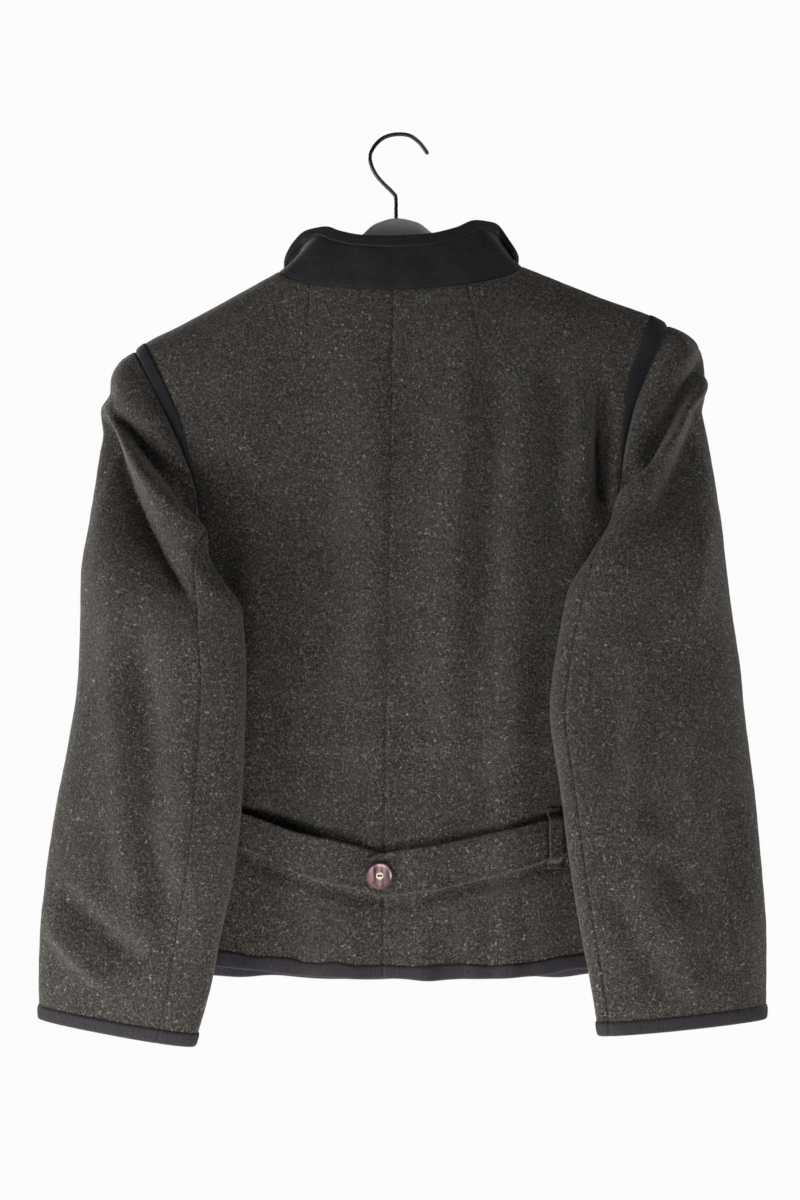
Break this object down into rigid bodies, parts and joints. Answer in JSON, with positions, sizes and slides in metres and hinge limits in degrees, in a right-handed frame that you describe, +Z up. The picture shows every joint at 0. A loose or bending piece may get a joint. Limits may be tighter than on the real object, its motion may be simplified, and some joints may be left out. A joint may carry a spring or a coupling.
{
  "type": "tyrolean loden jacket on hanger",
  "caption": "Short wool loden jacket with a black felt stand collar, ribbed edging, felt armhole strips and a buttoned half belt, hung on a plain hanger.",
  "frame": {"origin": "inner top of the hanger's hook, where it rests on a rail", "axes": "+X to the wearer's right, +Y out of the jacket's front, +Z up; the buttoned half belt is on the -Y side"},
  "size_m": [0.6235, 0.1805, 0.7831],
  "materials": {
    "loden": "fuzzy wool",
    "felt": "matt felt",
    "tape": "ribbed tape",
    "horn": "satin",
    "hanger": "matt",
    "wire": "dull"
  },
  "bodies": {
    "root": {"back_left": "loden", "back_right": "loden", "front_left": "loden", "front_right": "loden", "sleeve_left_upper": "loden", "sleeve_left_under": "loden", "sleeve_right_upper": "loden", "sleeve_right_under": "loden", "belt_left": "loden", "belt_right": "loden", "belt_loop_left": "loden", "belt_loop_right": "loden", "collar": "felt", "armhole_trim_left": "felt", "armhole_trim_right": "felt", "collar_binding": "tape", "hem_binding": "tape", "cuff_binding_left": "tape", "cuff_binding_right": "tape", "belt_button": "horn", "front_button_1": "horn", "front_button_2": "horn", "front_button_3": "horn", "front_button_4": "horn", "front_button_5": "horn", "hanger_body": "hanger", "hanger_hook": "wire"}
  },
  "joints": []
}
